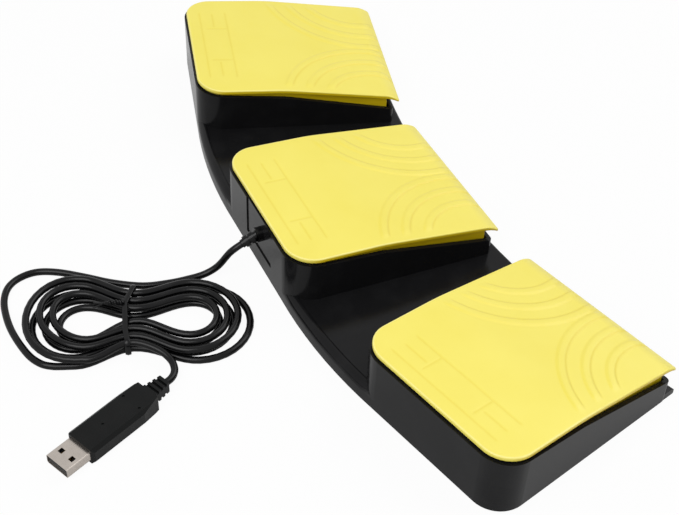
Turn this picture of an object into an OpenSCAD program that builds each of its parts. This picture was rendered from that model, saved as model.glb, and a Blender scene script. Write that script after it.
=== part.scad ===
// Foot switch with three sprung pedals in a fan, on one moulded base with a corded plug.
// +Z is up, +Y is the rear, where the cord leaves. The origin is on the floor, under the middle of the base.

/* [Fan layout] */
// Radius from the centre of the fan to the rear edges of the pads
fan_r = 498.5; // [470:0.5:540]
// Angle between neighbouring pedals
fan_angle = 14.9; // [14.5:0.1:17]

/* [Pedal pad] */
// Width of a pad
pad_w = 82; // [78:1:86]
// Length of a pad, rear edge to lip
pad_l = 98.5; // [95:0.5:102]
// Radius of the rear corners of a pad
pad_corner = 12; // [8:1:15]
// Radius of the front corners of a pad
pad_nose = 4; // [2:0.5:5]
// Thickness of the pad's top plate
pad_t = 2; // [1.6:0.2:2.4]
// Height of the pad's rear edge above the floor
pad_rear_z = 32; // [31.4:0.2:33]
// Distance of the pad's bend from its rear edge
pad_bend_y = 42; // [38:1:46]
// Fall from the rear edge to the bend
pad_bend_drop = 3; // [2.4:0.2:3.4]
// Fall from the bend to the lip
pad_lip_drop = 9.2; // [8.4:0.2:9.6]
// Overhang of the lip past the front skirt
lip_l = 5; // [4:0.5:6]
// Thickness of the lip at its edge
lip_t = 1.2; // [0.8:0.2:1.6]
// Set-back of the skirt from the edge of the plate
skirt_inset = 2; // [1.6:0.1:2.4]
// Thickness of the skirt
skirt_t = 1.8; // [1.2:0.1:2.2]
// Height of the skirt's lower edge above the floor, at the front
skirt_z = 10; // [9.6:0.1:11]
// Full turn of a pedal when pressed, in degrees
press_angle = 3; // [1:0.5:4]

/* [Grip ridges] */
// Number of curved ridges at each front corner
ridge_count = 3; // [1:1:4]
// Radius of the smallest ridge
ridge_r = 26.2; // [22:0.2:30]
// Step in radius between ridges
ridge_step = 9.9; // [7:0.1:11]
// Width of a ridge
ridge_w = 2.8; // [1.6:0.2:3.6]
// Height of a ridge
ridge_h = 0.4; // [0.2:0.1:0.8]

/* [Housing] */
// Wall thickness of the housing
wall = 2; // [1.6:0.1:2.4]
// Stand-out of the turret walls past the sides of the pads
side_over = 0.6; // [0.4:0.1:1.2]
// Stand-out of the turret walls past the rear edges of the pads
rear_over = 1.1; // [0.8:0.1:1.4]
// Radius of the turrets' rear corners
turret_corner = 13; // [10:1:16]
// Radius of the turrets' front corners
turret_nose = 2.4; // [2.4:0.2:4]
// Gap between a pad and the top of the turret wall, at the rear
rear_gap = 0.8; // [0.6:0.1:1.2]
// Gap between a pad and the top of the turret wall, at the pad's bend
bend_gap = 2.6; // [2.2:0.1:3]
// Gap between a pad and the top of the turret wall, at the front
front_gap = 5.8; // [5.6:0.1:6.6]
// Height of the deck's rear edge above the floor
deck_rear_z = 9.3; // [8.8:0.1:10]
// Height of the deck's front edge above the floor
deck_front_z = 4.4; // [4.2:0.1:5]
// Bulge of the deck's rear edge behind the pads, midway between two pedals
deck_bulge = 3.3; // [3:0.1:3.6]
// Radius of the deck's rear edge
deck_round = 3.5; // [2:0.5:4]
// Radius of the deck's front edge
rim_round = 1.5; // [0.5:0.5:2]
// Width of the rim in front of the turrets
rim_w = 2.8; // [2.4:0.2:4]

/* [Bottom cover] */
// Height of the rubber feet below the base
foot_h = 1; // [0.8:0.1:1.4]
// Diameter of a rubber foot
foot_d = 12; // [8:1:14]
// Thickness of the bottom cover
cover_t = 1.8; // [1.7:0.1:2]
// Gap between the cover and the housing's wall
cover_gap = 0.2; // [0.1:0.1:0.4]

/* [Hinge] */
// Distance of the hinge pin from the pad's rear edge
pivot_y = 16; // [15:0.5:18]
// Height of the hinge pin above the floor
pivot_z = 20; // [19:0.5:21]
// Diameter of the hinge pin
pin_d = 3; // [2.4:0.2:3.6]
// Radial running clearance of the pin in its posts
pin_run = 0.05; // [0.03:0.01:0.1]

/* [Return spring] */
// Distance of the spring from the pad's rear edge
spring_y = 70; // [64:1:76]
// Outside diameter of the spring
spring_d = 9.3; // [8.4:0.1:11]
// Diameter of the spring wire
spring_wire = 0.9; // [0.6:0.1:1.1]
// Length of the fitted spring
spring_l = 15; // [12:0.5:16]
// Number of turns
spring_turns = 6; // [4:1:7]

/* [Switch] */
// Distance of the switch from the pad's rear edge
switch_y = 44; // [42:1:46]
// Width of the switch body
switch_w = 12.8; // [11:0.2:15]
// Depth of the switch body
switch_d = 6; // [5.4:0.2:7]
// Height of the switch body
switch_h = 5.4; // [5:0.1:6]
// Diameter of the switch plunger
plunger_d = 2.6; // [2:0.1:3]
// Stand-out of the released plunger
plunger_out = 2.2; // [2:0.1:2.6]
// Thickness of a circuit board
board_t = 1.6; // [1:0.2:1.6]

/* [Cord and plug] */
// Diameter of the cord
cord_d = 3.15; // [2.8:0.05:3.2]
// Width of the plug's shell
plug_shell_w = 12; // [11.6:0.1:12.4]
// Height of the plug's shell
plug_shell_h = 4.5; // [4.3:0.1:4.7]
// Length of shell in front of the plug's grip
plug_shell_l = 11.5; // [11:0.25:12.5]
// Width of the plug's grip
grip_w = 15; // [14.4:0.2:18]
// Height of the plug's grip
grip_h = 8; // [7.4:0.2:9]
// Length of the plug's grip
grip_l = 36; // [32:1:40]

/* [Hidden] */
$fn = 48;
arc_fn = 360;
eps = 0.01;

BLACK = [0.09, 0.09, 0.1];
RUBBER = [0.06, 0.06, 0.06];
YELLOW = [0.96, 0.86, 0.24];
STEEL = [0.72, 0.73, 0.75];
BOARD = [0.1, 0.36, 0.2];

// Outline of a turret and of the base, seen from above
turret_half = pad_w / 2 + side_over;
skirt_front = pad_l - lip_l;
skirt_run = 1.2;
turret_front = skirt_front + skirt_run + wall;
rear_r = fan_r + deck_bulge;
// Flat behind a turret, and the arc that runs smoothly from one flat to the next
flat_half = (deck_bulge - rear_over) / tan(fan_angle / 4);
gap_share = 1.02;
gap_r = gap_share * (fan_r + rear_over - flat_half / tan(fan_angle / 2));
gap_y = deck_bulge - gap_r;
gap_reach = 180;
gap_end = 60;
front_r = fan_r - turret_front - rim_w;
corner_run = sqrt(front_r * front_r - turret_half * turret_half);
corner_reach = corner_run * cos(fan_angle) - turret_half * sin(fan_angle);
fan_c = -(fan_r + rear_over + corner_reach) / 2;
fan_far = 4 * fan_r;
// The deck is turned past the base's ends, and drawn in a little where the turrets cover it
deck_past = 8;
deck_end = fan_angle + deck_past;
tuck = 0.2;
past = 5;
round_steps = 4;
deck_sink = 0.1;
least_nose = 0.3;

// Heights
cover_z = foot_h;
cover_top = cover_z + cover_t;
deck_gap = 0.1;
bend_z = pad_rear_z - pad_bend_drop;
lip_z = bend_z - pad_lip_drop;
turret_rear_z = pad_rear_z - pad_t - rear_gap;
turret_front_z = lip_z + pad_lip_drop * (pad_l - turret_front) / (pad_l - pad_bend_y) - pad_t - front_gap;
turret_bend_z = bend_z - pad_t - bend_gap;
rear_skirt_z = 23.5;
skirt_slope_y = 40;
skirt_nose = 0.4;
ridge_x = 48.4;
ridge_y = 89;
ridge_fn = 96;
rib_x = 18;
rib_behind = 16;
rib_before = 13;
tall = 60;

// Fall of a point of the pedal when it is pressed fully
function press_fall(y) = (y - pivot_y) * sin(press_angle);
// Height of the pad's top surface
function pad_top(y) = y < pad_bend_y
    ? pad_rear_z - pad_bend_drop * y / pad_bend_y
    : bend_z - pad_lip_drop * (y - pad_bend_y) / (pad_l - pad_bend_y);

// Height of the deck's underside, at a distance from the pads' rear edges
function deck_fall(d) = (d + deck_bulge) / (turret_front + rim_w + deck_bulge);
function deck_under(d) = deck_rear_z - wall - (deck_rear_z - wall - cover_top - deck_gap) * deck_fall(d);

// Height of the skirt's lower edge
function skirt_low(y) = max(skirt_z, rear_skirt_z - (rear_skirt_z - skirt_z) * y / skirt_slope_y);

// Hinge
pin_r = pin_d / 2;
pin_fit = 0.02;
lug_x = 26;
lug_w = 4;
lug_d = 10;
lug_under = 2;
lug_gap = 0.4;
post_w = 4;
post_d = 8;
post_cap = 2.4;
bracket_low = 6;
bracket_z = 14;
pin_end = 0.6;
pin_half = lug_x + lug_w + lug_gap + post_w + pin_end;
snap_share = 0.84;

// Stops
stop_x = 25;
stop_w = 5;
stop_gap = 0.3;
stop_d = 4;
front_stop_y = skirt_front - stop_d;
front_stop_z = skirt_z - press_fall(skirt_front) - stop_gap;

// Switch and board
board_lift = 2;
board_z = cover_top + board_lift;
board_top = board_z + board_t;
board_w = 24;
board_d = 16;
stake_x = 9;
stake_d = 2.4;
stake_head = 5;
stake_up = 0.6;
switch_top = board_top + switch_h;
plunger_top = switch_top + plunger_out;
plunger_in = 1.8;
plunger_run = 0.1;
act_gap = 0.2;
act_d = 6;
plunger_spare = 0.4;
plunger_sink = plunger_in + press_fall(switch_y) + plunger_spare;

// Spring
wire_r = spring_wire / 2;
coil_r = spring_d / 2 - wire_r;
coil_rings = 8;
coil_sides = 6;
seat_gap = 0.05;
spring_top = cover_top + spring_l;
spigot_run = 0.5;
spigot_r = coil_r - wire_r - spigot_run;
spigot_l = 4;
cup_wall = 1.6;
cup_r = coil_r + wire_r + spigot_run + cup_wall;
cup_lip = 2;

// Screws and feet
screw_r = 1.3;
screw_fit = 0.02;
head_r = 2.2;
head_h = 1.3;
boss_r = 3;
boss_bite = 0.4;
boss_top = 16;
screw_long = 10;
screw_short = 4.6;
gap_screw_share = 0.4;
gap_screw_in = gap_screw_share * pad_l;
foot_sink = 0.4;
foot_in = 10.7;
foot_front = turret_front - foot_in;
foot_rear = 12;
foot_out = 28;
screw_reach = turret_corner - wall - boss_r + boss_bite;

// Cord gland, in the middle turret's rear wall
gland_x = -4.6;
gland_z = 20;
pocket_x = -2.8;
pocket_w = 27.4;
pocket_d = 0.5;
pocket_step = 0.2;
pocket_z = deck_rear_z + pocket_step;
gland_r = 3.4;
gland_fit = 0.1;
gland_flange_r = 4.1;
gland_flange_t = 0.7;
barrel_l = 2.8;
barrel_tilt = 25;
rib_l = 2;
rib_gap = 0.8;
tip_l = 1.4;
neck_r = 1.95;
neck_in = 1;
gland_rib_r = 2.8;
gland_rib_end_r = 2.6;
gland_tail = 2 * (rib_l + rib_gap) + tip_l;
yard = fan_c + fan_r;
pocket_y = yard + rear_over - pocket_d;
gland_bend_y = pocket_y + barrel_l;
gland_tip = [
    gland_x,
    gland_bend_y + gland_tail * cos(barrel_tilt),
    gland_z - gland_tail * sin(barrel_tilt)
];

// Wires inside the base
wire_t = 1.2;
wire_valley = 0.2;
wire_past = 0.4;
core_d = 0.7;
wire_in = switch_y + 3.6;
wire_step = 1.6;
wire_count = 3;
wire_lift = 0.05;

// Cord
cord_r = cord_d / 2;
cord_sides = 8;
cord_floor = 0.02;
lay_z = cord_r + cord_floor;

// Hank, drawn in at the waist by a tie
hank_x = -18;
hank_y = 126.4;
hank_turn = -21;
hank_loops = 6;
hank_run = 23.5;
hank_end_r = 23;
hank_step = 4.5;
hank_dip = 7.6;
hank_lift = 1.1;
hank_rings = 24;
hank_sides = 6;
layer_gap = 0.6;
layer_z = cord_d + layer_gap;
gap_skip = 8;

// Tie
tie_t = 0.8;
tie_w = 2.2;
tie_gap = 0.2;
tie_side = 0.8;
tie_at = 2.5;
tie_tail_d = 1.3;
tie_tail_l = 9;
tie_tail_at = 7;
tie_tail_rise = 12;
tie_tail_part = 8;
tie_tail_sink = 0.1;

// Plug
plug_turn = 24.4;
plug_at = [-75.2, 167.7];
plug_z = grip_h / 2;
relief_l = 9;
relief_w = 7.6;
relief_end_w = 5.4;
relief_h = 6;
shoulder_l = 9;
shoulder_w = 11.4;
grip_edge = 1.4;
grip_nose = 1.2;
shell_t = 0.3;
shell_round = 0.8;
shell_in = 7;
shell_in_w = plug_shell_w - 2 * shell_t;
shell_in_h = plug_shell_h - 2 * shell_t;
window_w = 2.2;
window_x = 3;
window_y = 6.4;
tongue_h = 1.9;
tongue_back = 0.6;
contact_w = 1;
contact_t = 0.2;
contact_l = 8;
contact_step = 2.25;
dimple_r = 0.6;
dimple_deep = 0.4;
dimple_x = 4.6;
dimple_front = 12;
dimple_back = 9;
contact_back = 0.8;
relief_slot = 1.1;
relief_step = 2.4;
relief_first = 2.6;
relief_core = 0.4;

// The cord's way from the gland round the hank, in millimetres
LEAD_WAY = [
    [-4.2, 77.5, 13.6], [-3.7, 79.4, 11], [-3.2, 81.1, 8.4], [-2.7, 83.2, 5.9], [-2.2, 86.4, 3.8],
    [-1.7, 90.6, 2.4], [-1, 96.5, 1.8], [0, 105, 1.7], [2.8, 116, 1.7],
    [9.8, 127.6, 1.7], [18.4, 138, 1.7], [25.6, 147.6, 1.7], [29.4, 156.2, 1.7],
    [28.8, 164, 1.7], [25, 170, 1.7], [18.4, 173.6, 1.7], [10.4, 175.2, 1.7], [0.8, 175.6, 1.7],
    [-8.8, 174.6, 1.7], [-18.4, 172.4, 1.7], [-24.4, 169.2, 1.7], [-27.4, 165.6, 1.7]
];
// The cord's way from the hank to the plug, along the hank and across it
TAIL_WAY = [
    [12.5, 21.2, 5.7], [7, 17.8, 6.3], [2, 15.6, 6.6], [-2.5, 15.8, 6.6], [-8, 18, 6.3],
    [-12.6, 20.8, 5.6], [-15.9, 24.4, 4.7], [-17.2, 28.2, 4.2], [-17, 31.4, 4.1]
];

// Places a child in the frame of a pedal: -1 left, 0 middle, 1 right; its rear edge lies on y = 0
module at_pedal(k) {
    translate([0, fan_c, 0]) rotate([0, 0, -fan_angle * k]) translate([0, fan_r, 0]) children();
}

module at_pedals() {
    for (k = [-1:1]) at_pedal(k) children();
}

// Rectangle with round rear corners and smaller round front corners, rear edge towards +Y
module pad_plan(half, rear, front, rear_radius, front_radius) {
    wide = half - front_radius;
    narrow = half - rear_radius;
    translate([-narrow, front]) square([2 * narrow, rear - front]);
    translate([-half, front + front_radius]) square([2 * half, rear - rear_radius - front - front_radius]);
    translate([-wide, front]) square([2 * wide, front_radius + eps]);
    for (s = [-1, 1]) {
        translate([s * narrow, rear - rear_radius]) circle(rear_radius);
        translate([s * wide, front + front_radius]) circle(front_radius);
    }
}

module turret_plan(inset) {
    pad_plan(turret_half - inset, rear_over - inset, inset - turret_front,
        turret_corner - inset, max(turret_nose - inset, least_nose));
}

// Places a child at the centres of the arcs between the flats
module at_gaps() {
    for (k = [-0.5, 0.5]) at_pedal(k) translate([0, gap_y, 0]) children();
}

// Outline of the base: concave in front, flat behind each turret with arcs between, round outer corners.
// Its arcs are drawn in by one amount, its ends and flats by another.
module base_plan(arc_in, end_in) {
    half = turret_half - end_in;
    rear = rear_over - end_in;
    round_r = turret_corner - end_in;
    difference() {
        union() {
            at_gaps() circle(gap_r - arc_in, $fn = arc_fn);
            at_pedals() translate([-flat_half, -fan_r / 2]) square([2 * flat_half, fan_r / 2 + rear]);
            for (k = [-1, 1]) at_pedal(k)
                translate([k > 0 ? 0 : -turret_half, -fan_r / 2]) square([turret_half, fan_r / 2 + rear]);
        }
        translate([0, fan_c]) circle(front_r + arc_in, $fn = arc_fn);
        for (k = [-1, 1]) at_pedal(k) {
            translate([k > 0 ? half : -half - fan_far, -fan_far / 2]) square(fan_far);
            difference() {
                translate([k > 0 ? half - round_r : -half - round_r, rear - round_r]) square(2 * round_r);
                translate([k * (half - round_r), rear - round_r]) circle(round_r);
                translate([-half, rear - 2 * round_r]) square([2 * half, round_r]);
            }
        }
    }
}

// Quarter round at a corner of a section, from its side up to its top, as [outwards, upwards] from it
function round_at(r) = [for (i = [0:round_steps])
    r * [cos(90 * i / round_steps) - 1, sin(90 * i / round_steps) - 1]];
// The deck's top and front edge: radius from the fan's centre, and height
deck_slope = (deck_rear_z - deck_front_z) / (rear_r - deck_round - front_r - rim_round);
deck_section = concat(
    [[front_r, cover_z], [rear_r + past, cover_z]],
    [[rear_r + past, deck_rear_z - deck_sink + deck_slope * (deck_round + past)]],
    [for (i = [round_steps:-1:0])
        let (p = round_at(rim_round)[i]) [front_r - p[0], deck_front_z - deck_sink + p[1]]]
);
// The deck's rear edge, with a fine groove in front of it: radius from the centre of an arc, and height
groove_w = 0.6;
groove_d = 0.5;
rear_section = concat(
    [[gap_r - gap_reach, -past], [gap_r, -past]],
    [for (p = round_at(deck_round)) [gap_r + p[0], deck_rear_z + p[1]]],
    [
        [gap_r - deck_round, deck_rear_z - groove_d],
        [gap_r - deck_round - groove_w, deck_rear_z - groove_d],
        [gap_r - deck_round - groove_w, deck_rear_z + past],
        [gap_r - gap_reach, tall]
    ]
);
hollow_section = [
    [front_r - past, -past], [rear_r + past, -past],
    [rear_r + past, deck_under(-deck_bulge - past)],
    [front_r - past, deck_under(turret_front + rim_w + past)]
];

// Turns a section about the fan's centre, past both ends of the base
module fan_sweep(section) {
    translate([0, fan_c, 0]) rotate([0, 0, 90 - deck_end])
        rotate_extrude(angle = 2 * deck_end, $fn = arc_fn) polygon(section);
}

// Turns a section about the centre of an arc between two flats
module gap_sweep(section) {
    rotate([0, 0, 90 - gap_end]) rotate_extrude(angle = 2 * gap_end, $fn = arc_fn) polygon(section);
}

// Deck between the turrets: it falls towards the front, and its long edges are round
module deck() {
    intersection() {
        linear_extrude(tall) base_plan(-past, tuck);
        fan_sweep(deck_section);
        at_gaps() gap_sweep(rear_section);
    }
}

module deck_hollow() {
    intersection() {
        linear_extrude(tall) base_plan(wall, wall);
        fan_sweep(hollow_section);
    }
}

// Prism along the width of a pedal, from a side view given as [distance from the rear, height]
module side_prism(points, half) {
    translate([half, 0, 0]) rotate([90, 0, -90]) linear_extrude(2 * half) polygon(points);
}

// Turret, before it is hollowed: its top edge falls towards the front
module turret_block() {
    intersection() {
        linear_extrude(tall) turret_plan(0);
        side_prism([
            [-rear_over, cover_z], [-rear_over, turret_rear_z], [0, turret_rear_z],
            [pad_bend_y, turret_bend_z], [turret_front, turret_front_z], [turret_front, cover_z]
        ], turret_half);
    }
}

// Ribs inside the rear wall that the pad's rear skirt rests on
module rear_stops() {
    rib_d = skirt_inset + skirt_t + rear_over - wall + eps;
    for (s = [-1, 1])
        translate([s * stop_x - stop_w / 2, -skirt_inset - skirt_t, bracket_low])
            cube([stop_w, rib_d, skirt_low(skirt_inset + skirt_t) - stop_gap - bracket_low]);
}

module at_corner_bosses() {
    for (k = [-1:1]) at_pedal(k)
        for (s = [-1, 1])
            translate([
                s * (turret_half - turret_corner + screw_reach * cos(45)),
                rear_over - turret_corner + screw_reach * sin(45)
            ]) children();
}

module at_deck_bosses() {
    for (k = [-0.5, 0.5]) at_pedal(k) translate([0, -gap_screw_in]) children();
}

module housing() {
    color(BLACK) difference() {
        union() {
            difference() {
                union() {
                    deck();
                    at_pedals() turret_block();
                }
                deck_hollow();
                at_pedals() translate([0, 0, cover_z - eps]) linear_extrude(tall) turret_plan(wall);
                translate([pocket_x - pocket_w / 2, pocket_y, pocket_z]) cube([pocket_w, tall, tall]);
            }
            at_pedals() {
                rear_stops();
                pin_bracket(-1);
                pin_bracket(1);
            }
            at_corner_bosses() translate([0, 0, cover_top]) cylinder(r = boss_r, h = boss_top - cover_top);
            at_deck_bosses() translate([0, 0, cover_top])
                cylinder(r = boss_r, h = deck_under(gap_screw_in) + wall / 2 - cover_top);
        }
        translate([gland_x, pocket_y + eps, gland_z]) rotate([90, 0, 0])
            cylinder(r = gland_r + gland_fit, h = 2 * wall);
        at_corner_bosses() translate([0, 0, cover_top - eps]) cylinder(r = screw_r, h = screw_long);
        at_deck_bosses() translate([0, 0, cover_top - eps])
            cylinder(r = screw_r, h = screw_short - cover_t + eps);
    }
}

// Bracket on the turret's side wall, with an open snap bearing for one end of the hinge pin
module pin_bracket(side) {
    inner = lug_x + lug_w + lug_gap;
    slot_w = 2 * pin_r * snap_share;
    mirror([side < 0 ? 1 : 0, 0, 0]) difference() {
        translate([inner, -pivot_y - post_d / 2, bracket_low]) {
            cube([post_w, post_d, pivot_z + post_cap - bracket_low]);
            cube([turret_half - wall - inner + eps, post_d, bracket_z - bracket_low]);
        }
        translate([inner - past, -pivot_y, pivot_z]) rotate([0, 90, 0])
            cylinder(r = pin_r + pin_run, h = post_w + 2 * past);
        translate([inner - past, -pivot_y - slot_w / 2, pivot_z])
            cube([post_w + 2 * past, slot_w, post_cap + past]);
    }
}

module at_feet() {
    for (k = [-1:1]) at_pedal(k)
        for (y = [foot_rear, foot_front]) translate([k * foot_out, -y, 0]) children();
}

module countersink(extra) {
    translate([0, 0, cover_z - eps]) cylinder(r1 = head_r + extra, r2 = screw_r + extra, h = head_h + eps);
    translate([0, 0, cover_z]) cylinder(r = screw_r + extra, h = cover_t + eps);
}

module bottom_cover() {
    color(BLACK) difference() {
        union() {
            translate([0, 0, cover_z]) linear_extrude(cover_t) base_plan(wall + cover_gap, wall + cover_gap);
            at_pedals() {
                for (side = [-1, 1]) {
                    translate([side * stop_x - stop_w / 2, -front_stop_y - stop_d, cover_top - eps])
                        cube([stop_w, stop_d, front_stop_z - cover_top + eps]);
                    translate([side * stake_x, -switch_y, cover_top - eps])
                        cylinder(d = stake_head, h = board_lift + eps);
                    translate([side * stake_x, -switch_y, cover_top])
                        cylinder(d = stake_d, h = board_lift + board_t + stake_up);
                }
                translate([0, -spring_y, cover_top - eps]) cylinder(r = spigot_r, h = spigot_l + eps);
            }
        }
        at_feet() translate([0, 0, cover_z - eps]) cylinder(d = foot_d, h = foot_sink + eps);
        at_corner_bosses() countersink(screw_fit);
        at_deck_bosses() countersink(screw_fit);
    }
}

module screw(length) {
    translate([0, 0, cover_z]) cylinder(r1 = head_r, r2 = screw_r - screw_fit, h = head_h);
    translate([0, 0, cover_z]) cylinder(r = screw_r - screw_fit, h = length);
}

module cover_screws() {
    color(STEEL) {
        at_corner_bosses() screw(screw_long);
        at_deck_bosses() screw(screw_short);
    }
}

module rubber_feet() {
    color(RUBBER) at_feet() cylinder(d = foot_d, h = foot_h + foot_sink);
}

// Band that follows the pad's top, between two depths below it
module pad_band(over, under) {
    side_prism([
        [0, pad_rear_z + over], [pad_bend_y, bend_z + over], [pad_l, lip_z + over],
        [pad_l, lip_z - under], [pad_bend_y, bend_z - under], [0, pad_rear_z - under]
    ], pad_w / 2);
}

module pad_plate() {
    intersection() {
        linear_extrude(tall) pad_plan(pad_w / 2, 0, -pad_l, pad_corner, pad_nose);
        side_prism([
            [0, pad_rear_z], [pad_bend_y, bend_z], [pad_l, lip_z],
            [pad_l, lip_z - lip_t], [skirt_front, pad_top(skirt_front) - pad_t],
            [pad_bend_y, bend_z - pad_t], [0, pad_rear_z - pad_t]
        ], pad_w / 2);
    }
}

module skirt_plan(inset) {
    pad_plan(pad_w / 2 - inset, -inset, inset - skirt_inset - skirt_front, pad_corner - inset, skirt_nose);
}

module pad_skirt() {
    intersection() {
        linear_extrude(tall) difference() {
            skirt_plan(skirt_inset);
            skirt_plan(skirt_inset + skirt_t);
        }
        side_prism([
            [0, rear_skirt_z], [0, pad_rear_z - pad_t / 2], [pad_bend_y, bend_z - pad_t / 2],
            [pad_l, lip_z - lip_t / 2], [pad_l, skirt_z], [skirt_slope_y, skirt_z]
        ], pad_w / 2);
    }
}

// Stiffening ribs under the plate
module pad_ribs() {
    rib_h = 5;
    rib_t = 1.4;
    half = pad_w / 2 - skirt_inset - skirt_t / 2;
    intersection() {
        pad_band(-pad_t / 2, pad_t + rib_h);
        union() {
            for (x = [-rib_x, rib_x]) translate([x - rib_t / 2, skirt_t - skirt_front, 0])
                cube([rib_t, skirt_front - skirt_inset - 2 * skirt_t, tall]);
            for (y = [switch_y - rib_behind, switch_y + rib_before])
                translate([-half, -y, 0]) cube([2 * half, rib_t, tall]);
        }
    }
}

// Curved grip ridges round the two front corners
module pad_ridges() {
    edge = 0.8;
    intersection() {
        pad_band(ridge_h, pad_t / 2);
        linear_extrude(tall)
            pad_plan(pad_w / 2 - edge, -edge, edge - pad_l, pad_corner - edge, pad_nose - edge);
        for (s = [-1, 1], i = [0:ridge_count - 1]) translate([s * ridge_x, -ridge_y, 0]) difference() {
            cylinder(r = ridge_r + i * ridge_step + ridge_w / 2, h = tall, $fn = ridge_fn);
            translate([0, 0, -past])
                cylinder(r = ridge_r + i * ridge_step - ridge_w / 2, h = tall + 2 * past, $fn = ridge_fn);
        }
    }
}

module pedal() {
    color(YELLOW) difference() {
        union() {
            pad_plate();
            pad_skirt();
            pad_ribs();
            pad_ridges();
            for (side = [-1, 1])
                translate([
                    side > 0 ? lug_x : -lug_x - lug_w, -pivot_y - lug_d / 2, pivot_z - pin_r - lug_under
                ]) cube([lug_w, lug_d, pad_top(pivot_y) - pad_t / 2 - pivot_z + pin_r + lug_under]);
            translate([0, -switch_y, plunger_top + act_gap])
                cylinder(d = act_d, h = pad_top(switch_y) - pad_t / 2 - plunger_top - act_gap);
            translate([0, -spring_y, spring_top - cup_lip])
                cylinder(r = cup_r, h = pad_top(spring_y) - pad_t / 2 - spring_top + cup_lip);
        }
        translate([-pin_half, -pivot_y, pivot_z]) rotate([0, 90, 0])
            cylinder(r = pin_r + pin_fit, h = 2 * pin_half);
        translate([0, -spring_y, spring_top - cup_lip - eps])
            cylinder(r = cup_r - cup_wall, h = cup_lip + eps);
    }
}

module hinge_pin() {
    color(STEEL) translate([-pin_half, -pivot_y, pivot_z]) rotate([0, 90, 0])
        cylinder(r = pin_r, h = 2 * pin_half);
}

// Unit vector
function unit(v) = v / norm(v);
// Direction of a path at one of its points
function heading(path, i) = unit(path[min(i + 1, len(path) - 1)] - path[max(i - 1, 0)]);
// Sideways direction, level with the floor
function sideways(path, i) = unit(cross(heading(path, i), [0, 0, 1]));
// Ring of points round one point of a path
function ring(path, i, radius, sides) = [
    for (j = [0:sides - 1])
        let (a = 360 * j / sides, s = sideways(path, i), u = cross(s, heading(path, i)))
            path[i] + radius * (cos(a) * s + sin(a) * u)
];

// Closed round tube along a path, in triangles
module tube(path, radius, sides) {
    n = len(path);
    points = [for (i = [0:n - 1]) each ring(path, i, radius, sides)];
    walls = [
        for (i = [0:n - 2], j = [0:sides - 1])
            let (a = i * sides + j, b = i * sides + (j + 1) % sides)
                each [[a, a + sides, b], [b, a + sides, b + sides]]
    ];
    caps = [for (j = [1:sides - 2]) each [
        [0, j, j + 1],
        [(n - 1) * sides, (n - 1) * sides + j + 1, (n - 1) * sides + j]
    ]];
    polyhedron(points, concat(walls, caps), convexity = 10);
}

// Compression spring between the cover and the pad
module spring() {
    count = spring_turns * coil_rings;
    low = cover_top + wire_r + seat_gap;
    rise = spring_l - 2 * (wire_r + seat_gap);
    path = [for (i = [0:count]) [
        coil_r * cos(360 * i / coil_rings),
        coil_r * sin(360 * i / coil_rings) - spring_y,
        low + rise * i / count
    ]];
    color(STEEL) tube(path, wire_r, coil_sides);
}

module board() {
    color(BOARD) difference() {
        translate([-board_w / 2, -switch_y - board_d / 2, board_z]) cube([board_w, board_d, board_t]);
        for (s = [-1, 1]) translate([s * stake_x, -switch_y, board_z - past])
            cylinder(r = stake_d / 2 + screw_fit, h = board_t + 2 * past);
    }
}

module switch_body() {
    color(BLACK) difference() {
        translate([-switch_w / 2, -switch_y - switch_d / 2, board_top]) cube([switch_w, switch_d, switch_h]);
        translate([0, -switch_y, switch_top - plunger_sink])
            cylinder(r = plunger_d / 2 + plunger_run, h = plunger_sink + past);
    }
}

module plunger() {
    color("firebrick") translate([0, -switch_y, switch_top - plunger_in])
        cylinder(d = plunger_d, h = plunger_in + plunger_out);
}

// Flat ribbon of wires between the boards, on the cover along an arc about the fan's centre
module wire_harness() {
    wire_z = cover_top + wire_lift;
    wide = wire_count * wire_step;
    valleys = [for (i = [wire_count - 1:-1:1]) each [
        [i * wire_step + wire_valley, wire_t],
        [i * wire_step, wire_t - wire_valley],
        [i * wire_step - wire_valley, wire_t]
    ]];
    color("gainsboro") {
        translate([0, fan_c, wire_z]) rotate([0, 0, 90 - fan_angle - wire_past])
            rotate_extrude(angle = 2 * (fan_angle + wire_past), $fn = arc_fn)
                translate([fan_r - wire_in - wide, 0])
                    polygon(concat([[0, 0], [wide, 0], [wide, wire_t]], valleys, [[0, wire_t]]));
        at_pedals() for (i = [0:wire_count - 1])
            translate([0, -wire_in - (i + 1 / 2) * wire_step, wire_z + wire_t / 2])
                cylinder(d = core_d, h = board_z - wire_z - wire_t / 2);
    }
}

// Jacketed cord inside the housing, from the gland down to the middle board
module inner_cable() {
    bend = 4;
    run = 1;
    start = yard + rear_over - wall - gland_flange_t;
    drop = start - run - bend;
    low_z = cover_top + cord_r + wire_lift;
    end = yard - switch_y + board_d / 2 + run;
    color(RUBBER) translate([gland_x, 0, 0]) {
        translate([0, start, gland_z]) rotate([90, 0, 0]) cylinder(r = cord_r, h = run);
        translate([0, start - run, gland_z - bend]) rotate([0, 90, 0]) rotate([0, 0, 180])
            rotate_extrude(angle = 90) translate([bend, 0]) circle(cord_r);
        translate([0, drop, low_z + bend]) cylinder(r = cord_r, h = gland_z - low_z - 2 * bend);
        translate([0, drop - bend, low_z + bend]) rotate([0, 90, 0])
            rotate_extrude(angle = 90) translate([bend, 0]) circle(cord_r);
        translate([0, end, low_z]) rotate([-90, 0, 0]) cylinder(r = cord_r, h = drop - bend - end);
    }
}

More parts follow.
